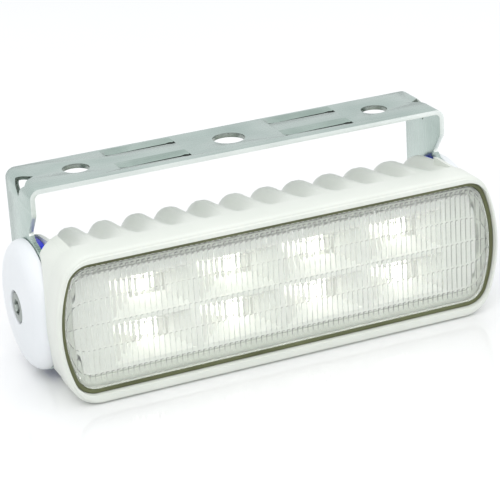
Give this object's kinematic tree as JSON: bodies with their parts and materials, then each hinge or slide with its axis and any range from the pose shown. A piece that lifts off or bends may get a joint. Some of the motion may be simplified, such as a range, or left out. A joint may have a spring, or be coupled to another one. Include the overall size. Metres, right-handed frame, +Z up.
{
  "type": "flood light",
  "caption": "Wide LED flood light in a finned white housing that tilts in a stainless U bracket, with domed end caps.",
  "frame": {"origin": "middle of the bottom of the bounding box, on the surface the light stands on", "axes": "+Z up, +X along the lamp's length and its tilt axis, -Y towards the lens"},
  "size_m": [0.2006, 0.0828, 0.0798],
  "materials": {
    "stainless_sheet": "satin",
    "white_housing": "satin",
    "white_bezel": "satin",
    "white_caps": "satin",
    "blue_ring": "satin",
    "clear_lens": "clear",
    "lens_seal": "matt",
    "black_rubber": "matt",
    "white_reflector": "gloss",
    "white_board": "satin",
    "led_phosphor": "gloss",
    "grey_pad": "matt",
    "bare_aluminium": "satin",
    "green_board": "satin",
    "dark_coil": "matt",
    "dark_sleeve": "gloss",
    "pale_plastic": "matt",
    "black_plastic": "satin",
    "steel_fasteners": "satin",
    "brass_insert": "satin"
  },
  "bodies": {
    "bracket": {"mounting_bracket": "stainless_sheet"},
    "lamp": {"lamp_housing": "white_housing", "front_bezel": "white_bezel", "body_seal": "black_rubber", "lens": "clear_lens", "lens_gasket": "lens_seal", "reflector": "white_reflector", "led_board": "white_board", "thermal_pad": "grey_pad", "heat_spreader": "bare_aluminium", "led_1": "led_phosphor", "led_2": "led_phosphor", "led_3": "led_phosphor", "led_4": "led_phosphor", "led_5": "led_phosphor", "led_6": "led_phosphor", "led_7": "led_phosphor", "led_8": "led_phosphor", "bezel_screw_1": "steel_fasteners", "bezel_screw_2": "steel_fasteners", "bezel_screw_3": "steel_fasteners", "bezel_screw_4": "steel_fasteners", "spreader_screw_1": "steel_fasteners", "spreader_screw_2": "steel_fasteners", "spreader_screw_3": "steel_fasteners", "spreader_screw_4": "steel_fasteners", "driver_board": "green_board", "driver_coil": "dark_coil", "driver_capacitor": "dark_sleeve", "supply_connector": "pale_plastic", "driver_screw_1": "steel_fasteners", "driver_screw_2": "steel_fasteners", "left_end_cap": "white_caps", "left_pivot_bolt": "steel_fasteners", "left_bolt_washer": "steel_fasteners", "left_friction_ring": "blue_ring", "left_thread_insert": "brass_insert", "right_end_cap": "white_caps", "right_pivot_bolt": "steel_fasteners", "right_bolt_washer": "steel_fasteners", "right_friction_ring": "blue_ring", "right_thread_insert": "brass_insert", "cable_gland_body": "black_plastic", "cable_gland_nut": "black_plastic", "cable_gland_seal": "black_rubber"}
  },
  "joints": [
    {"name": "lamp_tilt", "type": "hinge", "parent": "bracket", "child": "lamp", "pos_m": [0, 0.0018, 0.0298], "axis": [1, 0, 0], "range_deg": [-16, 130]}
  ]
}
